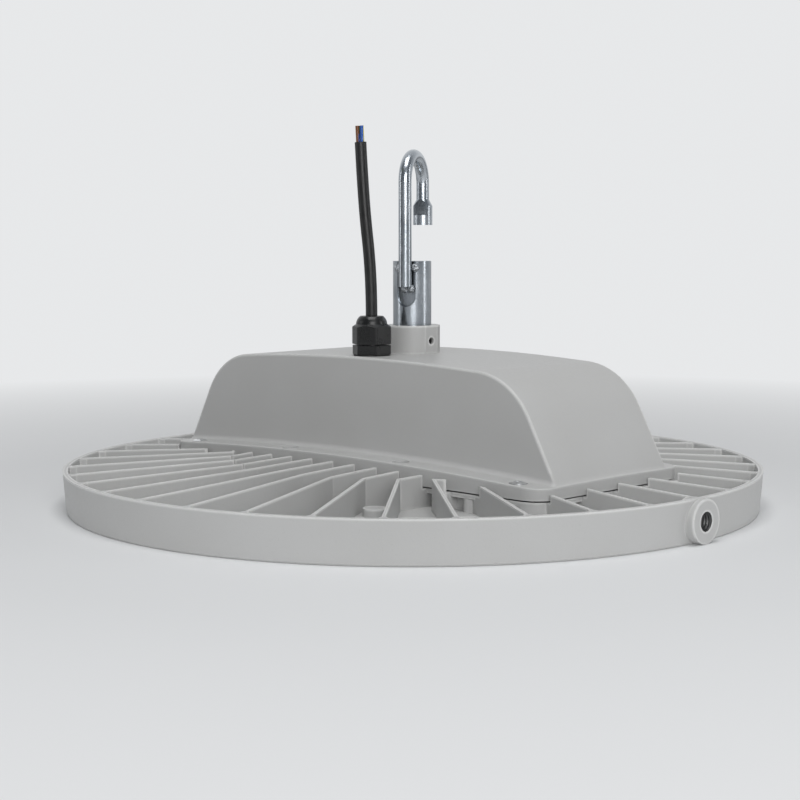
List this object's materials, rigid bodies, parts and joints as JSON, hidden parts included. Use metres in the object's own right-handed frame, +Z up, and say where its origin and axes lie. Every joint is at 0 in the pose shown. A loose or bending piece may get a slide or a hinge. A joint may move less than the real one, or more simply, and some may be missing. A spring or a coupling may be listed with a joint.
{
  "type": "high bay light",
  "caption": "Round high bay light: finned grey heat sink ring, loaf-shaped driver housing, steel hook, cable gland and short black cable.",
  "frame": {"origin": "centre of the lower rim of the heat sink ring, in the plane on which the light can stand", "axes": "+Z up along the hook stem; +X along the driver housing"},
  "size_m": [0.407, 0.4, 0.2148],
  "materials": {
    "powder_coat": "light warm-grey powder coat, fine texture",
    "zinc_steel": "bright zinc plated steel",
    "dark_steel": "blackened steel",
    "black_rubber": "matt black elastomer",
    "grey_rubber": "grey heat-conducting pad",
    "black_plastic": "black moulded nylon",
    "cable_black": "black cable jacket",
    "core_sleeve": "insulated cores",
    "lead_sleeve": "insulated leads",
    "driver_case": "plain aluminium case",
    "white_plastic": "white moulded terminal block",
    "board_white": "white solder-resist board",
    "lamp_yellow": "yellow phosphor lamps",
    "clear_lens": "clear moulded polycarbonate"
  },
  "bodies": {
    "root": {"heat_sink": "powder_coat", "driver_housing": "powder_coat", "housing_gasket": "black_rubber", "housing_screws": "zinc_steel", "driver_screws": "zinc_steel", "lens_screws": "zinc_steel", "led_driver": "driver_case", "terminal_block": "white_plastic", "output_leads": "lead_sleeve", "thermal_pad": "grey_rubber", "led_board": "board_white", "lens_plate": "clear_lens", "lens_seal": "black_rubber", "lens_ring": "powder_coat", "leds": "lamp_yellow", "hook_stem": "zinc_steel", "hook_rod": "zinc_steel", "weld_beads": "zinc_steel", "stem_washer": "zinc_steel", "stem_nut": "zinc_steel", "grub_screw": "dark_steel", "gland_body": "black_plastic", "gland_washer": "black_rubber", "gland_locknut": "black_plastic", "gland_seal": "black_rubber", "gland_cap": "black_plastic", "cable_inner": "cable_black", "mains_cable": "cable_black", "cable_cores": "core_sleeve"}
  },
  "joints": []
}
